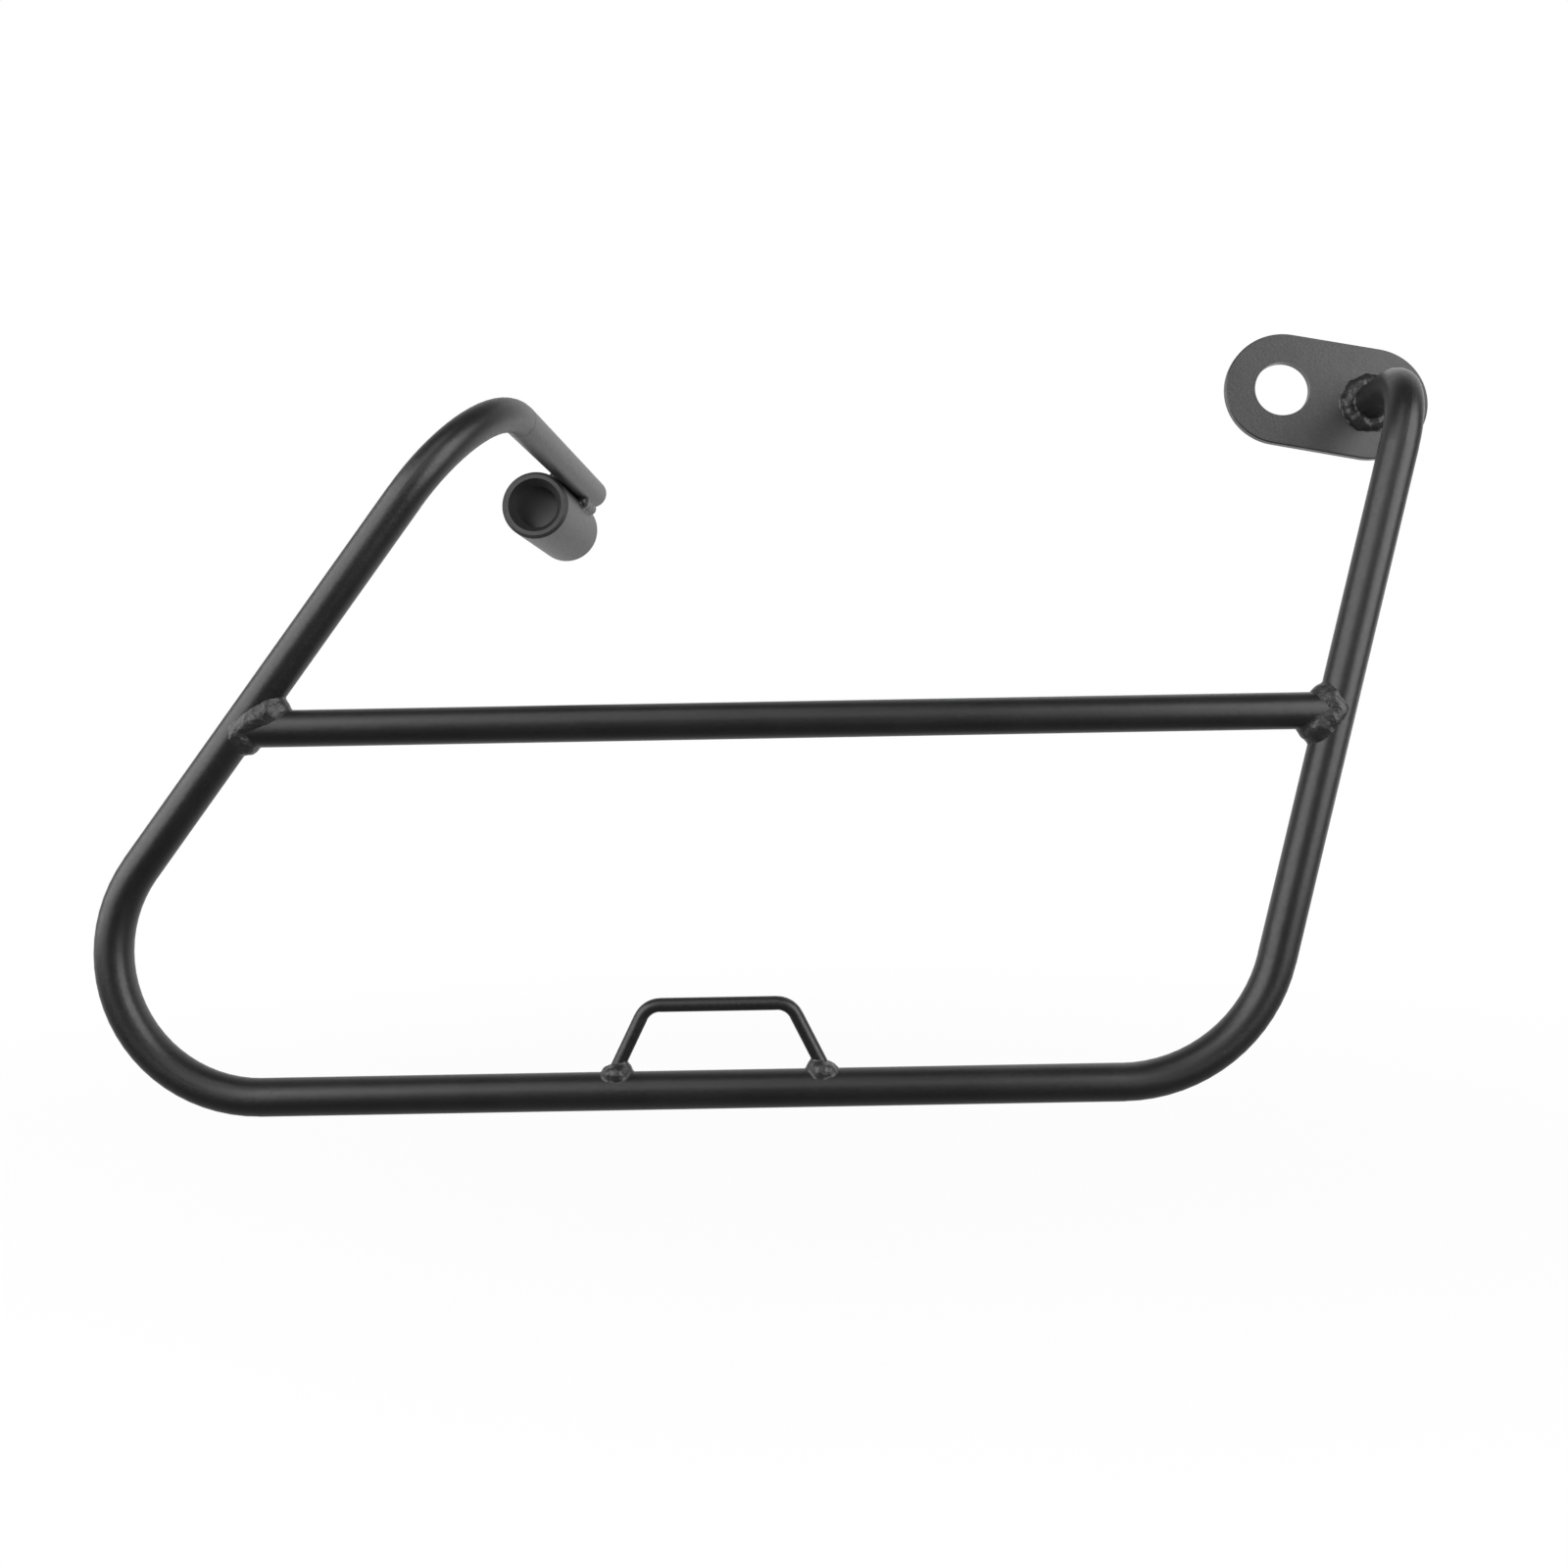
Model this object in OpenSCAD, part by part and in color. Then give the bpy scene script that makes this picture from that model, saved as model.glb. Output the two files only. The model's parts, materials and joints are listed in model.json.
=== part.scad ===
// Pannier frame for the side of a motorbike: one bent tube hoop, a crossbar, a strap loop,
// a spacer sleeve at the front and a plate at the rear, all welded together.
// Seen from outside the bike: +X runs to the right, +Z up and +Y inboard, towards the bike.
// The hoop's bottom run, slanted run, upright and crossbar lie in one plane, the hoop plane.
// The origin is the centre of the sleeve's inboard face. Lengths are in millimetres.

/* [Hoop tube] */
// Outside diameter of the hoop's tube
tube_d = 14; // [10:0.5:20]
// Wall of the hoop's tube
tube_wall = 2; // [1:0.25:3]

/* [Hoop outline] */
// Length of the bottom run, between its virtual corners
bottom_len = 474; // [400:1:600]
// Length of the slanted front run, between its virtual corners
slant_len = 327.5; // [290:0.5:360]
// Rise of the slanted front run above the bottom run, in degrees
slant_angle = 53.6; // [48:0.2:60]
// Length of the rear upright, between its virtual corners
upright_len = 273; // [240:1:300]
// Rise of the rear upright above the bottom run, in degrees
upright_angle = 75.6; // [68:0.2:84]
// Centreline radius of the bend between the bottom run and the slanted run
low_front_bend = 54; // [40:1:60]
// Centreline radius of the bend between the bottom run and the upright
low_rear_bend = 60; // [40:1:70]
// Centreline radius of the bend from the slanted run into the front leg
top_front_bend = 51; // [35:1:60]
// Centreline radius of the bend from the upright into the rear leg
top_rear_bend = 29; // [20:1:36]

/* [Legs towards the bike] */
// Length of the front leg, from its virtual corner to its cut end
front_leg = 199; // [160:1:240]
// Length of the rear leg, from its virtual corner to the plate
rear_leg = 52; // [44:1:80]
// Angle of both legs from the hoop plane's normal, towards the rear
leg_toe = 4.4; // [0:0.1:12]
// Angle of both legs from the hoop plane's normal, downwards
leg_dip = 3.7; // [0:0.1:12]

/* [Crossbar] */
// Outside diameter of the crossbar, a little under the hoop's, into which its ends are coped
bar_d = 13.8; // [10:0.1:13.8]
// Wall of the crossbar
bar_wall = 2; // [1:0.25:3]
// Height of the crossbar's axis above the bottom run's axis
bar_height = 137; // [115:0.5:170]

/* [Strap loop] */
// Diameter of the loop's rod
loop_rod_d = 5.2; // [4:0.1:7]
// Distance of the loop's front foot from the bottom run's front virtual corner
loop_start = 235; // [150:0.5:300]
// Width of the loop at the bottom run's axis
loop_foot_w = 84.8; // [70:0.2:110]
// Width of the loop's straight top, between its virtual corners
loop_top_w = 53.4; // [40:0.2:66]
// Height of the loop's top above the bottom run's axis
loop_height = 31.7; // [26:0.1:45]
// Centreline radius of the loop's two bends
loop_bend = 8; // [6:0.2:10]

/* [Spacer sleeve] */
// Outside diameter of the sleeve
sleeve_d = 31.8; // [26:0.2:38]
// Bore of the sleeve
sleeve_bore = 20; // [12:0.5:22]
// Length of the sleeve
sleeve_len = 70; // [50:1:90]
// Chamfer on the sleeve's outer rims
sleeve_chamfer = 0.8; // [0.2:0.1:2]
// Distance that the sleeve stands past the front leg's cut end
sleeve_past_leg = 12.5; // [2:0.5:20]
// Position of the sleeve round the front leg, in degrees below horizontal
sleeve_clock = 134; // [100:1:150]
// Root gap between the sleeve and the leg, closed by the weld
sleeve_gap = 0.2; // [0.1:0.05:0.5]

/* [Rear plate] */
// Width of the plate
plate_w = 45.8; // [36:0.2:52]
// Thickness of the plate
plate_t = 4; // [3:0.5:6]
// Distance from the plate's hole to the rear leg's axis
plate_reach = 35.4; // [30:0.2:50]
// Slope of the plate, down towards the rear, in degrees
plate_slope = 12; // [0:0.5:25]
// Diameter of the plate's hole
plate_hole = 22.2; // [10:0.2:26]
// Chamfer along the plate's edges
plate_chamfer = 0.5; // [0.2:0.1:1]

/* [Weld beads] */
// Radius of the weld, in the dips between its pools, in the crossbar's tighter corners
bar_tight_bead = 4.9; // [3:0.1:5.5]
// The same in the crossbar's more open corners
bar_open_bead = 2.8; // [2:0.1:4]
// The same at the crossbar's sides
bar_side_bead = 2.1; // [1.8:0.1:3]
// The same on the inner side of the loop's feet
loop_tight_bead = 3.7; // [2.2:0.1:4.2]
// The same on the outer side of the loop's feet
loop_open_bead = 1.8; // [1.6:0.1:3]
// The same between the sleeve and the leg
sleeve_bead = 2.9; // [2.2:0.1:4]
// Length of the weld on the sleeve's outboard side
short_weld = 17; // [10:1:30]
// Length of the weld on the sleeve's hidden side
long_weld = 44; // [20:1:50]
// The same round the rear leg's foot
plate_bead = 2.8; // [2:0.1:4]
// Distance between neighbouring weld pools
bead_pitch = 2.7; // [2:0.1:3.5]

/* [Hidden] */
$fn = 64;
tube_r = tube_d / 2;
bar_r = bar_d / 2;
rod_r = loop_rod_d / 2;
sleeve_r = sleeve_d / 2;
satin_black = [0.09, 0.09, 0.095];
bead_black = [0.13, 0.13, 0.135];
// Overshoot of a cutting solid past the face that it cuts
past = 1;
// Length that a bend reaches into the straight run on each side, and how much thinner it is
bend_lap = 0.3;
bend_thin = 0.05;
// Depth that a weld pool's centre sits inside a tube's side, and the facets round a pool
pool_sink = 1.2;
POOL_FN = 24;
// Step of turn, in degrees, in measuring the crossbar's saddle
saddle_step = 3;
// Facets round a full turn of a bend
BEND_FN = 96;

// Direction of both legs, from the hoop plane towards the bike
inboard = unit([tan(leg_toe), 1, -tan(leg_dip)]);
// The hoop's corners in the hoop plane, from the bottom run's front corner
slant_dir = [cos(slant_angle), 0, sin(slant_angle)];
upright_dir = [cos(upright_angle), 0, sin(upright_angle)];
low_front = [0, 0, 0];
low_rear = [bottom_len, 0, 0];
top_front = low_front + slant_len * slant_dir;
top_rear = low_rear + upright_len * upright_dir;
leg_end = top_front + front_leg * inboard;
plate_face = top_rear + rear_leg * inboard;
HOOP_CORNERS = [leg_end, top_front, low_front, low_rear, top_rear, plate_face];
HOOP_BENDS = [top_front_bend, low_front_bend, low_rear_bend, top_rear_bend];

// Directions square to the legs: across, towards the rear, and up
across = unit(cross(inboard, [0, 0, 1]));
up = cross(across, inboard);

// Sleeve beside the front leg
sleeve_side = -cos(180 - sleeve_clock) * across - sin(180 - sleeve_clock) * up;
sleeve_offset = tube_r + sleeve_gap + sleeve_r;
sleeve_seat = leg_end + sleeve_past_leg * inboard + sleeve_offset * sleeve_side;
sleeve_mouth = sleeve_seat - sleeve_len * inboard;

// Plate on the rear leg's end, its long axis running from the leg to the hole
plate_dir = -cos(plate_slope) * across + sin(plate_slope) * up;
plate_centre = plate_face + plate_reach * plate_dir;

// Crossbar's axis, from the slanted run to the upright
bar_front = bar_height / sin(slant_angle) * slant_dir;
bar_rear = low_rear + bar_height / sin(upright_angle) * upright_dir;

// Strap loop's corners on the bottom run
loop_mid = loop_start + loop_foot_w / 2;
LOOP_CORNERS = [
    [loop_start, 0, 0],
    [loop_mid - loop_top_w / 2, 0, loop_height],
    [loop_mid + loop_top_w / 2, 0, loop_height],
    [loop_start + loop_foot_w, 0, 0]
];

function unit(v) = v / norm(v);
function turn_at(a, b, c) = acos(unit(b - a) * unit(c - b));
// Length of straight tube that a bend of radius r takes up on each side of corner b
function bend_take(a, b, c, r) = r * tan(turn_at(a, b, c) / 2);
// Length taken up at corner i of a path, which is none at its two ends
function taken(path, bends, i) =
    i == 0 || i == len(path) - 1 ? 0 : bend_take(path[i - 1], path[i], path[i + 1], bends[i - 1]);
// Number of weld pools that fit a length
function pools(length) = max(3, round(length / bead_pitch));
// Radius of pools that stand some spacing apart and meet in dips of the bead's own radius
function pool_r(bead, spacing) = norm([bead, spacing / 2]);

// Turns a child so that its Z axis lies along z_dir and its X axis along x_dir
module aim(z_dir, x_dir) {
    polar = acos(z_dir.z);
    azimuth = atan2(z_dir.y, z_dir.x);
    x_turned = [cos(azimuth) * cos(polar), sin(azimuth) * cos(polar), -sin(polar)];
    y_turned = [-sin(azimuth), cos(azimuth), 0];
    spin = atan2(x_dir * y_turned, x_dir * x_turned);
    rotate([0, polar, azimuth]) rotate([0, 0, spin]) children();
}

// Any direction square to a given one
function square_to(d) = unit(cross(d, abs(d.x) < abs(d.y) + abs(d.z) ? [1, 0, 0] : [0, 0, 1]));

// Round bar of radius r from a to b
module round_bar(a, b, r) {
    d = unit(b - a);
    translate(a) aim(d, square_to(d)) cylinder(h = norm(b - a), r = r);
}

// Bend of a round bar of radius r that leaves the origin along +Z and turns towards +X. It is a
// hair thinner than the straight runs, and reaches a little way into the one on each side.
module elbow(bend, turn, r) {
    lap = bend_lap / bend * 180 / PI;
    translate([bend, 0, 0]) rotate([90, 0, 180]) rotate([0, 0, -lap])
        rotate_extrude(angle = turn + 2 * lap, $fn = BEND_FN) translate([bend, 0]) circle(r = r - bend_thin);
}

// Direction from corner i of a path to its bend's centre, square to the run that comes in
function bend_side(path, i) =
    let (come = unit(path[i] - path[i - 1]), go = unit(path[i + 1] - path[i]))
    unit(go - (go * come) * come);
// The same direction carried round the bend, square to the run that goes out
function side_after(path, i) =
    let (come = unit(path[i] - path[i - 1]), go = unit(path[i + 1] - path[i]))
    unit((go * come) * go - come);
// Angle about a path's run, from corner i to the next, between the two corners' bend planes
function plane_twist(path, i) =
    let (go = unit(path[i + 1] - path[i]), from = side_after(path, i), to = bend_side(path, i + 1))
    atan2(cross(from, to) * go, from * to);

// The rest of a bent bar from corner i on, drawn from where the run before it starts along +Z
module bar_from(path, bends, r, i, run_on) {
    last = len(path) - 1;
    before = i == 1 ? -run_on : taken(path, bends, i - 1);
    after = i == last ? -run_on : taken(path, bends, i);
    length = norm(path[i] - path[i - 1]) - before - after;
    cylinder(h = length, r = r);
    if (i < last) translate([0, 0, length]) {
        bend = bends[i - 1];
        turn = turn_at(path[i - 1], path[i], path[i + 1]);
        elbow(bend, turn, r);
        translate([bend, 0, 0]) rotate([0, turn, 0]) translate([-bend, 0, 0])
            rotate([0, 0, i + 1 < last ? plane_twist(path, i) : 0])
                bar_from(path, bends, r, i + 1, run_on);
    }
}

// Round bar of radius r bent along a path, with each end run on by some length
module bent_bar(path, bends, r, run_on = 0) {
    d = unit(path[1] - path[0]);
    translate(path[0] - run_on * d) aim(d, bend_side(path, 1)) bar_from(path, bends, r, 1, run_on);
}

// Puts the part's origin at the centre of the sleeve's inboard face
module placed() {
    translate(-sleeve_seat) children();
}

// Solid outer forms of the hoop's straight runs, which cope and trim what is welded to them
module slant_form() {
    round_bar(low_front, top_front, tube_r);
}

module upright_form() {
    round_bar(low_rear, top_rear, tube_r);
}

module bottom_form() {
    round_bar(low_front, low_rear, tube_r);
}

module bar_form(r) {
    round_bar(bar_front, bar_rear, r);
}

module leg_form() {
    round_bar(top_front, leg_end, tube_r);
}

module sleeve_form() {
    round_bar(sleeve_mouth, sleeve_seat, sleeve_r);
}

module main_hoop() {
    color(satin_black) placed() difference() {
        bent_bar(HOOP_CORNERS, HOOP_BENDS, tube_r);
        bent_bar(HOOP_CORNERS, HOOP_BENDS, tube_r - tube_wall, past);
    }
}

module crossbar() {
    color(satin_black) placed() difference() {
        bar_form(bar_r);
        bar_form(bar_r - bar_wall);
        slant_form();
        upright_form();
    }
}

module strap_loop() {
    color(satin_black) placed() difference() {
        bent_bar(LOOP_CORNERS, [loop_bend, loop_bend], rod_r);
        bottom_form();
    }
}

// Thick-walled turned tube with both outer rims chamfered
module spacer_sleeve() {
    bore_r = sleeve_bore / 2;
    rim_r = sleeve_r - sleeve_chamfer;
    color(satin_black) placed() translate(sleeve_mouth) aim(inboard, across)
        rotate_extrude() polygon([
            [bore_r, 0],
            [rim_r, 0],
            [sleeve_r, sleeve_chamfer],
            [sleeve_r, sleeve_len - sleeve_chamfer],
            [rim_r, sleeve_len],
            [bore_r, sleeve_len]
        ]);
}

// Half of the plate's chamfered section, from its centre line outwards
function plate_section(side) = [
    [0, 0],
    [side * (plate_w / 2 - plate_chamfer), 0],
    [side * plate_w / 2, plate_chamfer],
    [side * plate_w / 2, plate_t - plate_chamfer],
    [side * (plate_w / 2 - plate_chamfer), plate_t],
    [0, plate_t]
];

// Flat plate with two round ends, one about the rear leg and one about its hole
module mounting_plate() {
    color(satin_black) placed() translate(plate_face) aim(inboard, plate_dir) difference() {
        union() {
            for (x = [0, plate_reach]) translate([x, 0, 0]) rotate_extrude() polygon(plate_section(1));
            rotate([90, 0, 90]) linear_extrude(height = plate_reach)
                for (side = [-1, 1]) polygon(plate_section(side));
        }
        translate([plate_reach, 0, -past]) cylinder(h = plate_t + 2 * past, d = plate_hole);
    }
}

// Point round the crossbar where its surface meets a tube leaning at some angle, given from the
// joint of the two axes; side is 1 where the bar leaves towards the rear and -1 towards the front
function saddle_point(turn, lean, side) =
    let (y = bar_r * sin(turn), z = bar_r * cos(turn))
    let (reach = sqrt(max(0, tube_r * tube_r - y * y)))
    [(z * cos(lean) + side * reach) / sin(lean), y - pool_sink * sin(turn), z];

// Distance run along the saddle at each step of turn round the crossbar
function saddle_run(lean, side) = [
    for (
        turn = 0, run = 0;
        turn <= 360;
        run = run + norm(saddle_point(turn + saddle_step, lean, side) - saddle_point(turn, lean, side)),
        turn = turn + saddle_step
    ) [run, turn]
];

// Weld pools at even spacing round one end of the crossbar, larger in the corners than at the
// sides and largest in the tighter corner
module bar_pools(joint, lean, side) {
    turn_at_run = saddle_run(lean, side);
    length = turn_at_run[len(turn_at_run) - 1][0];
    count = pools(length);
    translate(joint) for (k = [0 : count - 1]) {
        turn = lookup(length * k / count, turn_at_run);
        corner_bead = cos(turn) * side > 0 ? bar_tight_bead : bar_open_bead;
        bead = bar_side_bead + (corner_bead - bar_side_bead) * pow(cos(turn), 2);
        translate(saddle_point(turn, lean, side)) sphere(r = pool_r(bead, length / count), $fn = POOL_FN);
    }
}

module weld_crossbar_front() {
    color(bead_black) placed() difference() {
        bar_pools(bar_front, slant_angle, 1);
        slant_form();
        bar_form(bar_r);
    }
}

module weld_crossbar_rear() {
    color(bead_black) placed() difference() {
        bar_pools(bar_rear, upright_angle, -1);
        upright_form();
        bar_form(bar_r);
    }
}

// Weld round a foot of the strap loop, where the rod leaves the bottom run, larger on the side
// that the rod leans to
module foot_weld(foot, shoulder) {
    d = unit(shoulder - foot);
    count = pools(2 * PI * rod_r);
    difference() {
        for (k = [0 : count - 1]) {
            turn = 360 * k / count;
            side = [cos(turn), sin(turn), 0] * rod_r;
            rise = sqrt(tube_r * tube_r - side.y * side.y);
            tightness = (1 + sign(d.x) * cos(turn)) / 2;
            bead = loop_open_bead + (loop_tight_bead - loop_open_bead) * tightness;
            translate(foot + [side.x + rise * d.x / d.z, side.y, rise])
                sphere(r = pool_r(bead, 2 * PI * rod_r / count), $fn = POOL_FN);
        }
        bottom_form();
        round_bar(foot, shoulder, rod_r);
    }
}

module weld_loop_front() {
    color(bead_black) placed() foot_weld(LOOP_CORNERS[0], LOOP_CORNERS[1]);
}

module weld_loop_rear() {
    color(bead_black) placed() foot_weld(LOOP_CORNERS[3], LOOP_CORNERS[2]);
}

// Row of weld pools in the valley between the leg and the sleeve, back from the leg's cut end,
// which the first pool just reaches
module lap_weld(length, side) {
    near = tube_r + pool_sink;
    far = sleeve_r + pool_sink;
    swing = acos((near * near + sleeve_offset * sleeve_offset - far * far) / (2 * near * sleeve_offset));
    sleeve_turn = atan2(sleeve_side * up, sleeve_side * across);
    turn = sleeve_turn + side * swing;
    valley = near * (cos(turn) * across + sin(turn) * up);
    count = pools(length);
    difference() {
        for (k = [0 : count])
            translate(leg_end + valley - (sleeve_bead + k * length / count) * inboard)
                sphere(r = pool_r(sleeve_bead, length / count), $fn = POOL_FN);
        leg_form();
        sleeve_form();
    }
}

module weld_sleeve_short() {
    color(bead_black) placed() lap_weld(short_weld, 1);
}

module weld_sleeve_long() {
    color(bead_black) placed() lap_weld(long_weld, -1);
}

// Ring of weld pools where the rear leg stands on the plate
module weld_plate() {
    ring_r = tube_r + pool_sink;
    count = pools(2 * PI * ring_r);
    color(bead_black) placed() translate(plate_face) aim(inboard, plate_dir) difference() {
        for (k = [0 : count - 1]) rotate([0, 0, 360 * k / count]) translate([ring_r, 0, 0])
            sphere(r = pool_r(plate_bead, 2 * PI * ring_r / count), $fn = POOL_FN);
        translate([0, 0, -rear_leg]) cylinder(h = rear_leg + past, r = tube_r);
        translate([-plate_w, -plate_w, 0]) cube([2 * plate_w, 2 * plate_w, plate_w]);
    }
}

main_hoop();
crossbar();
strap_loop();
spacer_sleeve();
mounting_plate();
weld_crossbar_front();
weld_crossbar_rear();
weld_loop_front();
weld_loop_rear();
weld_sleeve_short();
weld_sleeve_long();
weld_plate();
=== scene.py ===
"""Pannier frame in a plain white studio. Lengths are in metres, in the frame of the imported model."""
import json
import math

import bmesh
import bpy
from mathutils import Matrix, Vector
from mathutils import noise as lumps
from mathutils.bvhtree import BVHTree


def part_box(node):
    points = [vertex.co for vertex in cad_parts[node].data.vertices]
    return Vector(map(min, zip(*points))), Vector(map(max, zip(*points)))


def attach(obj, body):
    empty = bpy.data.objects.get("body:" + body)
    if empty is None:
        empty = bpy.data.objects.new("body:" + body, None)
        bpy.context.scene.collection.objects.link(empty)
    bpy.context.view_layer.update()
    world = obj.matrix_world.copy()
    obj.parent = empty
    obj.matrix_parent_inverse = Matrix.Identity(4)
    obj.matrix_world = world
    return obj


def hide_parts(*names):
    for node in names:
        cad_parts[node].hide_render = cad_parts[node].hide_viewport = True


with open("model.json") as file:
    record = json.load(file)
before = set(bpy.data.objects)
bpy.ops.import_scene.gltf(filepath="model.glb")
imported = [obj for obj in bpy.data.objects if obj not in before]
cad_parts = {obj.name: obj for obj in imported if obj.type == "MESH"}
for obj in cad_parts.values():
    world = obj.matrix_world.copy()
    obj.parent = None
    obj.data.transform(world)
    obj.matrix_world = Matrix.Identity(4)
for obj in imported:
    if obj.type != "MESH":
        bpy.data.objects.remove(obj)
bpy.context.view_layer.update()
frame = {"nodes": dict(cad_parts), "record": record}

# Photograph: its width and height, the point that the camera looks straight at, and the scale in the
# hoop's plane, in pixels
PHOTO_SIZE = 1600
AIM_PX = (788.0, 708.9)
PX_PER_METRE = 2742.0
CAMERA_DISTANCE = 1450.0 / PX_PER_METRE
CAMERA_ROLL = math.radians(1.02)
# Width of the camera's sensor, in millimetres
SENSOR = 36.0
# The same point in the hoop's plane, along the bottom run from its front corner and up
AIM_ALONG = 0.2995
AIM_UP = 0.1464

# Place of the bottom run's front corner, where its axis meets the slanted run's
FRONT_CORNER_X = -0.194456
# Sizes repeated from the CAD model. The hoop's runs go from corner to corner of the tube's axis.
TUBE_RADIUS = 0.007
BOTTOM_LENGTH = 0.474
SLANT_ANGLE = math.radians(53.6)
SLANT_LENGTH = 0.3275
UPRIGHT_ANGLE = math.radians(75.6)
UPRIGHT_LENGTH = 0.273
REAR_LEG_LENGTH = 0.052
BAR_RADIUS = 0.0069
PLATE_THICKNESS = 0.004
# Strap loop: its rod, its feet along the bottom run, and how far its shoulders lean in and rise
ROD_RADIUS = 0.0026
LOOP_START = 0.235
LOOP_FOOT_WIDTH = 0.0848
LOOP_LEAN = 0.0157
LOOP_HEIGHT = 0.0317
# Spacer sleeve
SLEEVE_RADIUS = 0.0159
SLEEVE_LENGTH = 0.07
SLEEVE_CHAMFER = 0.0008
BORE_RADIUS = 0.01

# Shape of the sleeve's outboard mouth, which the CAD model leaves plain
MOUTH_CHAMFER = 0.0014
COUNTERSINK_RADIUS = 0.0127
COUNTERSINK_DEPTH = 0.004
SLEEVE_SEGMENTS = 144

# Welds are melted onto round cores in place of the tubes, the sleeve and the plate beside them.
# The cores are this much under size, so that they stay hidden inside the pieces' own faces.
CORE_SINK = 0.00015
CORE_SEGMENTS = 48
# They reach this far from a joint along the tubes, and this share of the way up the loop's legs
CORE_REACH = 0.03
ROD_CORE_SHARE = 0.7
# The front leg's core, from the leg's corner, ends inside the leg's open end
FRONT_LEG_CORE_START = 0.13
FRONT_LEG_CORE_END = 0.195
REAR_LEG_CORE_LENGTH = 0.025
PLATE_CORE_RADIUS = 0.018
# A melted weld keeps what lies this near to the CAD weld. It swells a little, and lumps come on top.
MELT_VOXEL = 0.0004
MELT_REACH = 0.0032
WELD_SWELL = 0.0003
LUMPS_TO_THE_METRE = 290
# Smoothing passes and height of the lumps at each joint
CROSSBAR_MELT = (110, 0.0005)
LOOP_MELT = (30, 0.0003)
SLEEVE_MELT = (18, 0.0002)
PLATE_MELT = (26, 0.0009)

# Noises in the coat: cells to the metre, detail and roughness
CLOUD = (45.0, 4.0, 0.6)
PEEL = (750.0, 2.0, 0.5)
DUST = (2600.0, 2.0, 0.6)
# Heights of their bumps, and the strength of the slow waves
CLOUD_HEIGHT = 0.0006
PEEL_HEIGHT = 0.00012
BEAD_PEEL_HEIGHT = 0.0004
DUST_HEIGHT = 0.00004
CLOUD_STRENGTH = 0.25
# The coat is rougher in the bore, up to this far past its wall, and changes over as much again
BORE_ROUGHNESS = 0.65
BORE_EDGE = 0.0001

# Room that the coat mirrors: dark on the camera's side and pale behind the object. The world's tone
# changes between two shares of straight back.
DARK_SIDE = 0.0
PALE_SIDE = 0.75
DARK_UP_TO = 0.1
PALE_FROM = 0.8
# The floor's tone changes over a stretch that starts on the camera's side of the hoop's plane
DARK_FLOOR = 0.042
PALE_FLOOR = 0.71
FLOOR_FADE_START = -0.2
FLOOR_FADE_END = 0.3
# Behind the object, mirrored rays meet the white background itself. It comes in from this share of
# straight back in the world, and is all that they meet this far behind the hoop's plane on the floor.
WHITE_STARTS = 0.5
FLOOR_WHITE_FROM = 1.0

# The floor: how far it lies under the hoop, the length of its sides, and the tone of its shadowed face
FLOOR_DROP = 0.19
FLOOR_SIZE = 12
FLOOR_WHITE = 0.95
# The floor's shadow to the camera is at its full strength up to the first distance from the object's
# middle, and has faded out at the second
SHADOW_SHARE = 0.12
SHADOW_NEAR = 0.4
SHADOW_FAR = 1.3
# Softboxes stand this far from the object's middle
SOFTBOX_DISTANCE = 1.2

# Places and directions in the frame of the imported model
hoop_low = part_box("main_hoop")[0]
bar_low, bar_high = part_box("crossbar")
plane_y = (bar_low.y + bar_high.y) / 2
bottom_z = hoop_low.z + TUBE_RADIUS
bar_rise = (bar_low.z + bar_high.z) / 2 - bottom_z
aim_x = FRONT_CORNER_X + AIM_ALONG
aim_z = bottom_z + AIM_UP
middle = Vector((aim_x, plane_y, aim_z))
front_corner = Vector((FRONT_CORNER_X, plane_y, bottom_z))
rear_corner = front_corner + Vector((BOTTOM_LENGTH, 0, 0))
slant = Vector((math.cos(SLANT_ANGLE), 0, math.sin(SLANT_ANGLE)))
upright = Vector((math.cos(UPRIGHT_ANGLE), 0, math.sin(UPRIGHT_ANGLE)))
inboard = Vector(next(mount["axis"] for mount in frame["record"]["mounts"] if mount["name"] == "sleeve_bore"))


def add_object(name, data):
    """New object with that data, linked to the scene."""
    thing = bpy.data.objects.new(name, data)
    bpy.context.scene.collection.objects.link(thing)
    return thing


def photo_camera():
    """Camera square to the hoop's plane, with the photograph's framing and roll."""
    data = bpy.data.cameras.new("photo_camera")
    data.sensor_width = SENSOR
    data.lens = SENSOR * CAMERA_DISTANCE * PX_PER_METRE / PHOTO_SIZE
    data.shift_x = 0.5 - AIM_PX[0] / PHOTO_SIZE
    data.shift_y = AIM_PX[1] / PHOTO_SIZE - 0.5
    camera = add_object("photo_camera", data)
    camera.location = (aim_x, plane_y - CAMERA_DISTANCE, aim_z)
    camera.rotation_euler = (math.radians(90), CAMERA_ROLL, 0)
    bpy.context.scene.camera = camera


def empty_tree(owner, output_type="ShaderNodeOutputMaterial"):
    """Empty node tree of a material or a world, with its output node."""
    owner.use_nodes = True
    tree = owner.node_tree
    tree.nodes.clear()
    return tree, tree.nodes.new(output_type)


def noise(tree, coordinates, scale, detail, roughness):
    """Noise of that many cells to the metre."""
    node = tree.nodes.new("ShaderNodeTexNoise")
    node.inputs["Scale"].default_value = scale
    node.inputs["Detail"].default_value = detail
    node.inputs["Roughness"].default_value = roughness
    tree.links.new(coordinates, node.inputs["Vector"])
    return node.outputs["Fac"]


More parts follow.
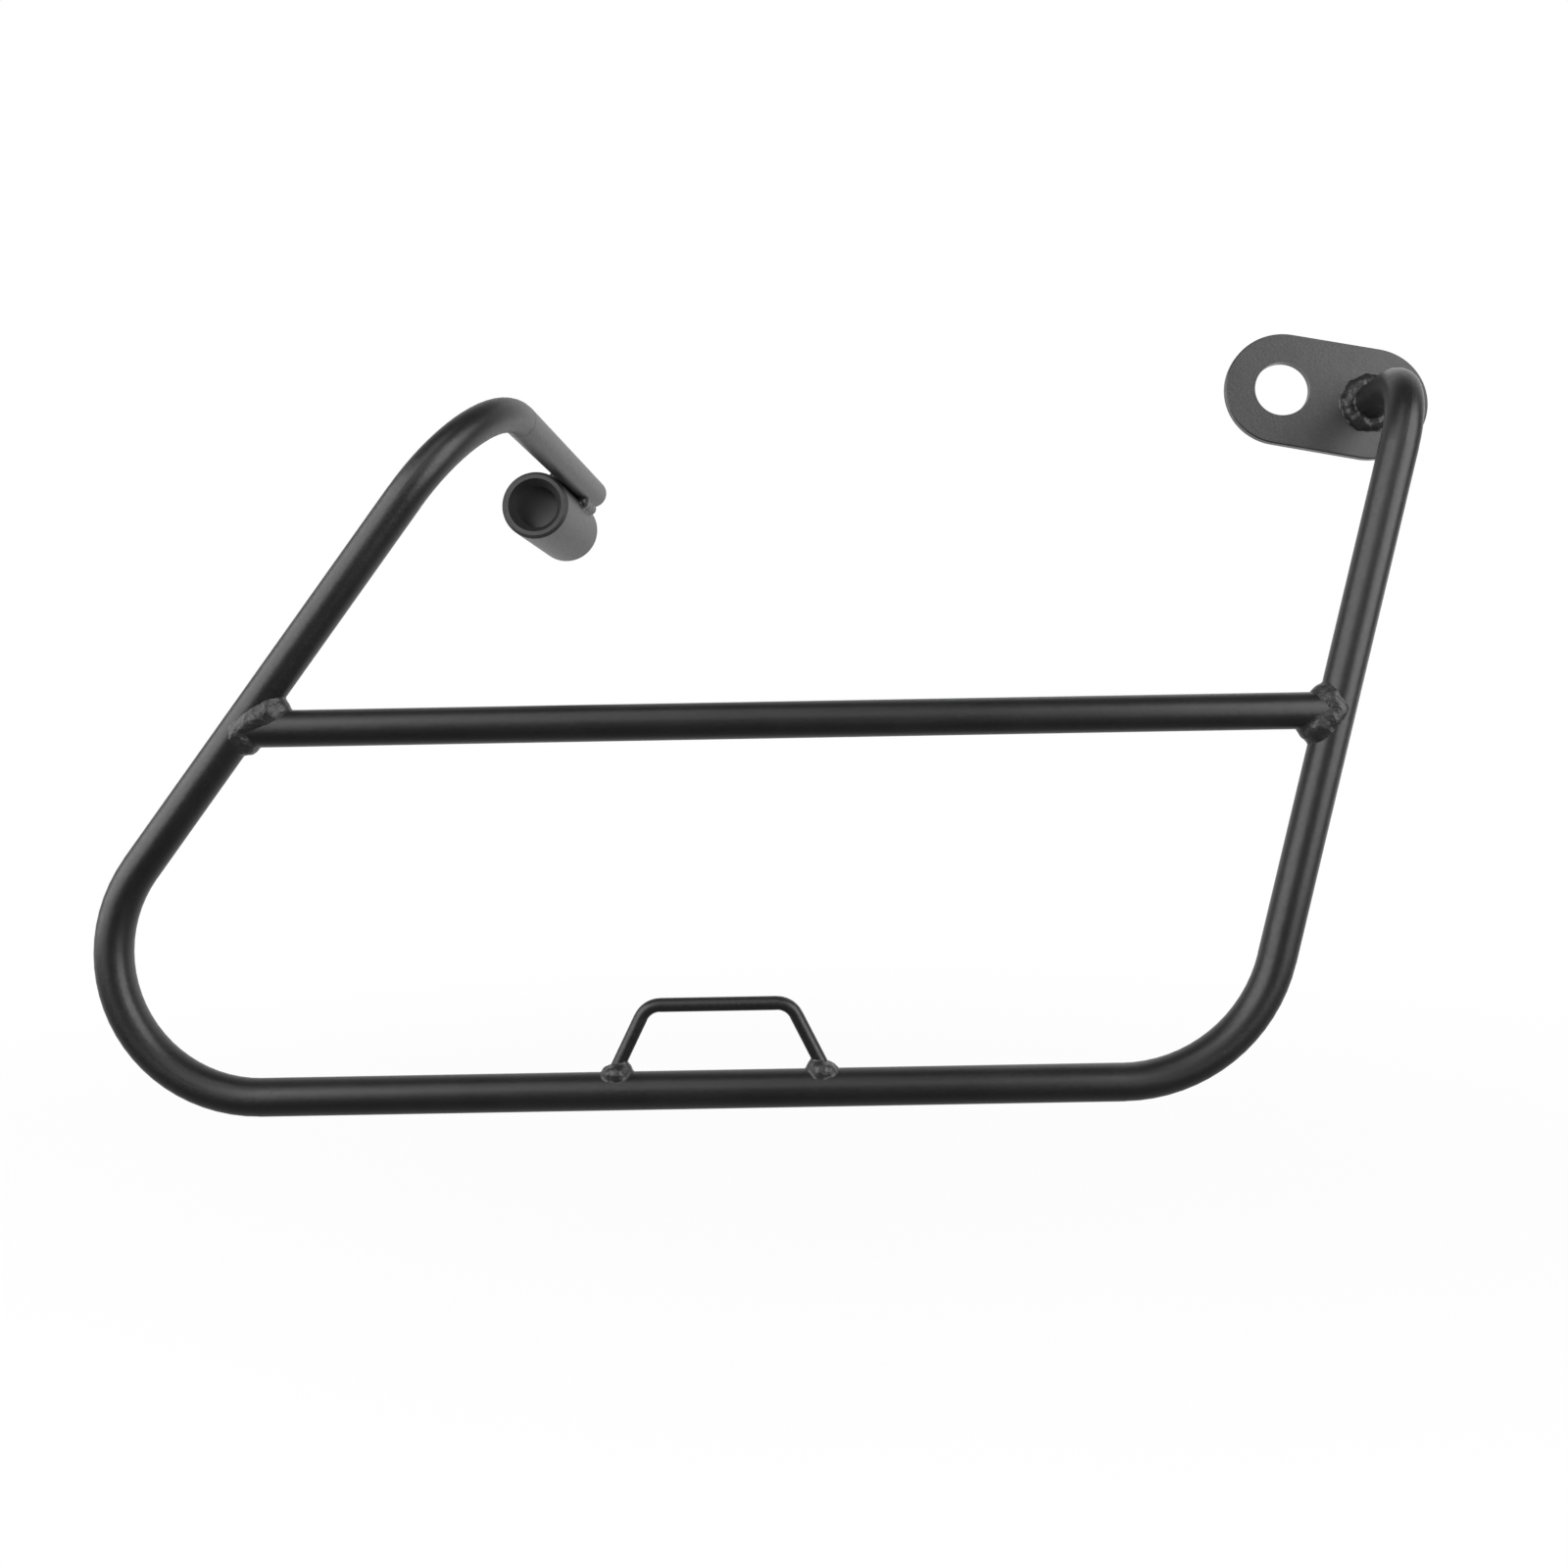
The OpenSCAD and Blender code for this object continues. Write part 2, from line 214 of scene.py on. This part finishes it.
def remap(tree, value, low, high, from_low=0.3, from_high=0.7):
    """Value stretched from one range to another, and held inside it. The first range is a noise's own
    unless it is given."""
    node = tree.nodes.new("ShaderNodeMapRange")
    node.inputs["From Min"].default_value = from_low
    node.inputs["From Max"].default_value = from_high
    node.inputs["To Min"].default_value = low
    node.inputs["To Max"].default_value = high
    tree.links.new(value, node.inputs["Value"])
    return node.outputs["Result"]


def bump(tree, height, distance, strength, under=None):
    """Bump of that height in metres, laid over an earlier one."""
    node = tree.nodes.new("ShaderNodeBump")
    node.inputs["Strength"].default_value = strength
    node.inputs["Distance"].default_value = distance
    tree.links.new(height, node.inputs["Height"])
    if under is not None:
        tree.links.new(under, node.inputs["Normal"])
    return node.outputs["Normal"]


def change_to(tree, factor, value, end_value):
    """Value that changes to a fixed one as a factor goes from 0 to 1."""
    node = tree.nodes.new("ShaderNodeMix")
    node.inputs["B"].default_value = end_value
    tree.links.new(factor, node.inputs["Factor"])
    tree.links.new(value, node.inputs["A"])
    return node.outputs["Result"]


def split_xyz(tree, vector):
    """The three parts of a vector, by name."""
    node = tree.nodes.new("ShaderNodeSeparateXYZ")
    tree.links.new(vector, node.inputs["Vector"])
    return node.outputs


def length_of(tree, vector):
    """Length of a vector."""
    node = tree.nodes.new("ShaderNodeVectorMath")
    node.operation = "LENGTH"
    tree.links.new(vector, node.inputs[0])
    return node.outputs["Value"]


def from_axis(tree, where, axis):
    """Distance from a line through the origin along a unit axis."""
    cross = tree.nodes.new("ShaderNodeVectorMath")
    cross.operation = "CROSS_PRODUCT"
    cross.inputs[1].default_value = axis
    tree.links.new(where, cross.inputs[0])
    return length_of(tree, cross.outputs["Vector"])


def held_math(tree, operation, first, second):
    """Sum or product of two values, held between 0 and 1."""
    node = tree.nodes.new("ShaderNodeMath")
    node.operation = operation
    node.use_clamp = True
    tree.links.new(first, node.inputs[0])
    tree.links.new(second, node.inputs[1])
    return node.outputs["Value"]


def mix_shaders(tree, share, first, second):
    """The first shader, with a share of the second mixed in."""
    node = tree.nodes.new("ShaderNodeMixShader")
    tree.links.new(share, node.inputs["Fac"])
    tree.links.new(first, node.inputs[1])
    tree.links.new(second, node.inputs[2])
    return node.outputs["Shader"]


def white_light(tree, node_type, strength=None):
    """White emission or background, at full white or at a linked strength."""
    node = tree.nodes.new(node_type)
    node.inputs["Color"].default_value = (1, 1, 1, 1)
    node.inputs["Strength"].default_value = 1.0
    if strength is not None:
        tree.links.new(strength, node.inputs["Strength"])
    return node.outputs[0]


def powder_coat(name, dark, light, roughness, grain, peel_height=PEEL_HEIGHT, bore_axis=None):
    """Satin black powder coat with orange peel, slow waves and fine dust. Its colour and its roughness
    each lie between two ends, and grain is the strength of its peel and dust. Round a bore's axis it turns
    rough inside the bore."""
    material = bpy.data.materials.new(name)
    tree, output = empty_tree(material)
    shader = tree.nodes.new("ShaderNodeBsdfPrincipled")
    where = tree.nodes.new("ShaderNodeTexCoord").outputs["Object"]
    cloud = noise(tree, where, *CLOUD)
    peel = noise(tree, where, *PEEL)
    dust = noise(tree, where, *DUST)
    rough = remap(tree, peel, *roughness)
    if bore_axis is not None:
        radius = from_axis(tree, where, bore_axis)
        inside = remap(tree, radius, 1.0, 0.0, BORE_RADIUS + BORE_EDGE, BORE_RADIUS + 2 * BORE_EDGE)
        rough = change_to(tree, inside, rough, BORE_ROUGHNESS)
    tint = tree.nodes.new("ShaderNodeMix")
    tint.data_type = "RGBA"
    tint.inputs["A"].default_value = (*dark, 1)
    tint.inputs["B"].default_value = (*light, 1)
    tree.links.new(remap(tree, cloud, 0.0, 1.0), tint.inputs["Factor"])
    waves = bump(tree, cloud, CLOUD_HEIGHT, CLOUD_STRENGTH)
    peeled = bump(tree, peel, peel_height, grain, waves)
    tree.links.new(tint.outputs["Result"], shader.inputs["Base Color"])
    tree.links.new(rough, shader.inputs["Roughness"])
    tree.links.new(bump(tree, dust, DUST_HEIGHT, grain, peeled), shader.inputs["Normal"])
    tree.links.new(shader.outputs["BSDF"], output.inputs["Surface"])
    return material


def paint(nodes, material):
    """Gives CAD nodes one material."""
    for name in nodes:
        piece = frame["nodes"][name]
        piece.data.materials.clear()
        piece.data.materials.append(material)


def add_core(mesh, start, end, radius):
    """Solid round core, a little under its radius, added to a bmesh."""
    span = end - start
    place = Matrix.Translation((start + end) / 2) @ span.to_track_quat("Z", "Y").to_matrix().to_4x4()
    bmesh.ops.create_cone(
        mesh,
        cap_ends=True,
        segments=CORE_SEGMENTS,
        radius1=radius - CORE_SINK,
        radius2=radius - CORE_SINK,
        depth=span.length,
        matrix=place,
    )


def melted(piece, passes):
    """New mesh of a piece whose parts are joined by a fine remesh and melted by smoothing passes."""
    remesh = piece.modifiers.new("remesh", "REMESH")
    remesh.mode = "VOXEL"
    remesh.voxel_size = MELT_VOXEL
    smooth = piece.modifiers.new("smooth", "SMOOTH")
    smooth.factor = 0.5
    smooth.iterations = passes
    view = bpy.context.evaluated_depsgraph_get()
    data = bpy.data.meshes.new_from_object(piece.evaluated_get(view))
    piece.modifiers.clear()
    return data


def trim_and_lump(mesh, cad_weld, lump_height):
    """Deletes what lies far from the CAD weld, and adds lumps to the rest that fade out towards its edges."""
    polygons = [polygon.vertices for polygon in cad_weld.polygons]
    near = BVHTree.FromPolygons([vertex.co for vertex in cad_weld.vertices], polygons)
    far = []
    for vertex in mesh.verts:
        distance = near.find_nearest(vertex.co)[3]
        if distance > MELT_REACH:
            far.append(vertex)
            continue
        fade = max(0.0, 1 - distance / (MELT_REACH / 2))
        lump = lumps.noise(vertex.co * LUMPS_TO_THE_METRE)
        vertex.co += vertex.normal * fade * (WELD_SWELL + lump_height * lump)
    bmesh.ops.delete(mesh, geom=far, context="VERTS")


def keep_largest_island(mesh):
    """Deletes the crumbs that a trim leaves beside a bmesh's main body."""
    left = set(mesh.verts)
    largest = set()
    while left:
        front = [left.pop()]
        island = set(front)
        while front:
            vertex = front.pop()
            joined = {edge.other_vert(vertex) for edge in vertex.link_edges} & left
            left -= joined
            island |= joined
            front.extend(joined)
        if len(island) > len(largest):
            largest = island
    crumbs = [vertex for vertex in mesh.verts if vertex not in largest]
    bmesh.ops.delete(mesh, geom=crumbs, context="VERTS")


def melted_weld(node, cores, melt, material):
    """The CAD weld's row of pools melted together and onto the pieces beside it, with uneven lumps. Each
    core is given by its two ends and its radius, and the melt by its smoothing passes and its lumps'
    height."""
    passes, lump_height = melt
    cad_weld = frame["nodes"][node].data
    mesh = bmesh.new()
    mesh.from_mesh(cad_weld)
    for start, end, radius in cores:
        add_core(mesh, start, end, radius)
    data = bpy.data.meshes.new(node + "_melted")
    mesh.to_mesh(data)
    mesh.free()
    piece = add_object(node + "_melted", data)
    melted_data = melted(piece, passes)
    mesh = bmesh.new()
    mesh.from_mesh(melted_data)
    bpy.data.meshes.remove(melted_data)
    mesh.normal_update()
    trim_and_lump(mesh, cad_weld, lump_height)
    keep_largest_island(mesh)
    for face in mesh.faces:
        face.smooth = True
    mesh.to_mesh(data)
    mesh.free()
    data.materials.append(material)
    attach(piece, "root")
    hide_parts(node)


def crossbar_welds(material):
    """Welds at both ends of the crossbar. Its core runs to the rear from the front joint and to the front
    from the rear one."""
    reach = Vector((CORE_REACH, 0, 0))
    ends = (
        ("weld_crossbar_front", front_corner, slant, 0, 1),
        ("weld_crossbar_rear", rear_corner, upright, -1, 0),
    )
    for node, corner, run, first, last in ends:
        joint = corner + run * (bar_rise / run.z)
        hoop_core = (joint - run * CORE_REACH, joint + run * CORE_REACH, TUBE_RADIUS)
        bar_core = (joint + reach * first, joint + reach * last, BAR_RADIUS)
        melted_weld(node, [hoop_core, bar_core], CROSSBAR_MELT, material)


def loop_welds(material):
    """Welds round the strap loop's feet, which lean towards each other."""
    reach = Vector((CORE_REACH, 0, 0))
    feet = (
        ("weld_loop_front", LOOP_START, 1),
        ("weld_loop_rear", LOOP_START + LOOP_FOOT_WIDTH, -1),
    )
    for node, along, lean in feet:
        foot = front_corner + Vector((along, 0, 0))
        shoulder = foot + Vector((lean * LOOP_LEAN, 0, LOOP_HEIGHT)) * ROD_CORE_SHARE
        hoop_core = (foot - reach, foot + reach, TUBE_RADIUS)
        melted_weld(node, [hoop_core, (foot, shoulder, ROD_RADIUS)], LOOP_MELT, material)


def sleeve_welds(material):
    """Welds in the two valleys between the front leg and the sleeve."""
    leg_corner = front_corner + slant * SLANT_LENGTH
    leg_start = leg_corner + inboard * FRONT_LEG_CORE_START
    leg_end = leg_corner + inboard * FRONT_LEG_CORE_END
    leg_core = (leg_start, leg_end, TUBE_RADIUS)
    sleeve_core = (-SLEEVE_LENGTH * inboard, Vector((0, 0, 0)), SLEEVE_RADIUS)
    for node in ("weld_sleeve_short", "weld_sleeve_long"):
        melted_weld(node, [leg_core, sleeve_core], SLEEVE_MELT, material)


def plate_weld(material):
    """Weld round the rear leg's foot on the plate."""
    foot = rear_corner + upright * UPRIGHT_LENGTH + inboard * REAR_LEG_LENGTH
    leg_core = (foot - inboard * REAR_LEG_CORE_LENGTH, foot, TUBE_RADIUS)
    plate_core = (foot + inboard * CORE_SINK, foot + inboard * PLATE_THICKNESS, PLATE_CORE_RADIUS)
    melted_weld("weld_plate", [leg_core, plate_core], PLATE_MELT, material)


def turned(profile, axis):
    """Bmesh turned round an axis through the origin. Each point of the closed profile is a place along the
    axis and a radius, and leaves a sharp edge."""
    side = axis.orthogonal().normalized()
    other = axis.cross(side)
    turns = [math.tau * step / SLEEVE_SEGMENTS for step in range(SLEEVE_SEGMENTS)]
    spokes = [side * math.cos(turn) + other * math.sin(turn) for turn in turns]
    mesh = bmesh.new()
    rings = [[mesh.verts.new(axis * along + spoke * radius) for spoke in spokes] for along, radius in profile]
    for ring, after in zip(rings, rings[1:] + rings[:1]):
        for step in range(SLEEVE_SEGMENTS):
            face = mesh.faces.new((ring[step - 1], ring[step], after[step], after[step - 1]))
            face.smooth = True
    for ring in rings:
        for step in range(SLEEVE_SEGMENTS):
            mesh.edges.get((ring[step - 1], ring[step])).smooth = False
    bmesh.ops.recalc_face_normals(mesh, faces=mesh.faces)
    return mesh


def countersunk_sleeve(material):
    """The spacer sleeve turned again with its outboard mouth countersunk, in place of the CAD sleeve."""
    mouth = -SLEEVE_LENGTH
    profile = [
        (0, BORE_RADIUS),
        (0, SLEEVE_RADIUS - SLEEVE_CHAMFER),
        (-SLEEVE_CHAMFER, SLEEVE_RADIUS),
        (mouth + MOUTH_CHAMFER, SLEEVE_RADIUS),
        (mouth, SLEEVE_RADIUS - MOUTH_CHAMFER),
        (mouth, COUNTERSINK_RADIUS),
        (mouth + COUNTERSINK_DEPTH, BORE_RADIUS),
    ]
    mesh = turned(profile, inboard)
    data = bpy.data.meshes.new("sleeve_countersunk")
    mesh.to_mesh(data)
    mesh.free()
    data.materials.append(material)
    piece = add_object("sleeve_countersunk", data)
    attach(piece, "root")
    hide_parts("spacer_sleeve")


def background(tree, white, room, behind):
    """White to the camera, and behind the object to mirrored and transmitted rays too. Everything else
    meets the room. Behind is a value from 0 to 1."""
    rays = tree.nodes.new("ShaderNodeLightPath").outputs
    passed_on = held_math(tree, "ADD", rays["Is Glossy Ray"], rays["Is Transmission Ray"])
    passed_on_behind = held_math(tree, "MULTIPLY", passed_on, behind)
    shown = held_math(tree, "ADD", rays["Is Camera Ray"], passed_on_behind)
    return mix_shaders(tree, shown, room, white)


def studio_world():
    """White background, in a room that is pale behind the object and dark on the camera's side."""
    world = bpy.data.worlds.new("studio")
    tree, output = empty_tree(world, "ShaderNodeOutputWorld")
    direction = tree.nodes.new("ShaderNodeTexCoord").outputs["Generated"]
    back = split_xyz(tree, direction)["Y"]
    tone = remap(tree, back, DARK_SIDE, PALE_SIDE, DARK_UP_TO, PALE_FROM)
    room = white_light(tree, "ShaderNodeBackground", tone)
    white = white_light(tree, "ShaderNodeBackground")
    behind = remap(tree, back, 0.0, 1.0, WHITE_STARTS, 1.0)
    tree.links.new(background(tree, white, room, behind), output.inputs["Surface"])
    bpy.context.scene.world = world


def floor_material():
    """White floor with the object's faint shadow. To the coat that mirrors it, it is the room's floor."""
    material = bpy.data.materials.new("pale_floor")
    tree, output = empty_tree(material)
    where = tree.nodes.new("ShaderNodeTexCoord").outputs["Object"]
    back = split_xyz(tree, where)["Y"]
    matte = tree.nodes.new("ShaderNodeBsdfDiffuse")
    matte.inputs["Color"].default_value = (FLOOR_WHITE, FLOOR_WHITE, FLOOR_WHITE, 1)
    shadow = remap(tree, length_of(tree, where), SHADOW_SHARE, 0.0, SHADOW_NEAR, SHADOW_FAR)
    white = white_light(tree, "ShaderNodeEmission")
    seen = mix_shaders(tree, shadow, white, matte.outputs["BSDF"])
    tone = remap(tree, back, DARK_FLOOR, PALE_FLOOR, FLOOR_FADE_START, FLOOR_FADE_END)
    room = white_light(tree, "ShaderNodeEmission", tone)
    behind = remap(tree, back, 0.0, 1.0, FLOOR_FADE_END, FLOOR_WHITE_FROM)
    tree.links.new(background(tree, seen, room, behind), output.inputs["Surface"])
    return material


def pale_floor():
    """Wide floor under the object."""
    floor_z = hoop_low.z - FLOOR_DROP
    bpy.ops.mesh.primitive_plane_add(size=FLOOR_SIZE, location=(aim_x, plane_y, floor_z))
    floor = bpy.context.object
    floor.name = "floor"
    floor.data.materials.append(floor_material())


def softbox(name, azimuth, elevation, width, height, radiance):
    """Area light turned towards the object's middle. Its angles are in degrees. Azimuth 0 is the camera's
    side, and positive is to the right."""
    turn = math.radians(azimuth)
    lift = math.radians(elevation)
    away = Vector((math.sin(turn) * math.cos(lift), -math.cos(turn) * math.cos(lift), math.sin(lift)))
    place = middle + away * SOFTBOX_DISTANCE
    data = bpy.data.lights.new(name, "AREA")
    data.shape = "RECTANGLE"
    data.size = width
    data.size_y = height
    data.energy = radiance * math.pi * width * height
    light = add_object(name, data)
    light.location = place
    light.rotation_euler = (middle - place).to_track_quat("-Z", "Y").to_euler()


def lights():
    """Softboxes above the camera, to both sides, and behind to the right."""
    softbox("top_box", -18, 55, 0.57, 0.62, 1.75)
    softbox("front_box", -8, 25, 0.67, 0.52, 1.3)
    softbox("left_box", -63, 18, 1.68, 1.17, 3.6)
    softbox("right_box", 50, 11, 1.05, 1.45, 4.1)
    softbox("back_box", 133, 20, 1.27, 2.0, 0.52)


photo_camera()
studio_world()
pale_floor()
lights()

tube_coat = powder_coat(
    "powder_coat",
    dark=(0.008, 0.008, 0.0083),
    light=(0.012, 0.012, 0.0124),
    roughness=(0.34, 0.42),
    grain=0.35,
)
# Plate's coat: the same black powder coat as the tubes, painted about four times lighter. This is painted
# light, standing in for the stronger light that the plate catches.
plate_painted_light_coat = powder_coat(
    "plate_painted_light_coat",
    dark=(0.032, 0.032, 0.0328),
    light=(0.044, 0.044, 0.0449),
    roughness=(0.34, 0.42),
    grain=0.4,
)
bead_coat = powder_coat(
    "bead_coat",
    dark=(0.012, 0.012, 0.0125),
    light=(0.024, 0.024, 0.0245),
    roughness=(0.32, 0.44),
    grain=0.8,
    peel_height=BEAD_PEEL_HEIGHT,
)
# Sleeve's coat: the same black powder coat as the tubes, painted about twice as light. This is painted light,
# standing in for the stronger light that the sleeve catches. It turns rough inside the bore.
sleeve_painted_light_coat = powder_coat(
    "sleeve_painted_light_coat",
    dark=(0.016, 0.016, 0.0165),
    light=(0.024, 0.024, 0.0246),
    roughness=(0.4, 0.48),
    grain=0.4,
    bore_axis=inboard,
)
paint(["main_hoop", "crossbar", "strap_loop"], tube_coat)
paint(["mounting_plate"], plate_painted_light_coat)
paint(["spacer_sleeve"], sleeve_painted_light_coat)
paint([name for name in frame["nodes"] if name.startswith("weld_")], bead_coat)

countersunk_sleeve(sleeve_painted_light_coat)
crossbar_welds(bead_coat)
loop_welds(bead_coat)
sleeve_welds(bead_coat)
plate_weld(bead_coat)

bpy.context.scene.view_settings.view_transform = "Standard"
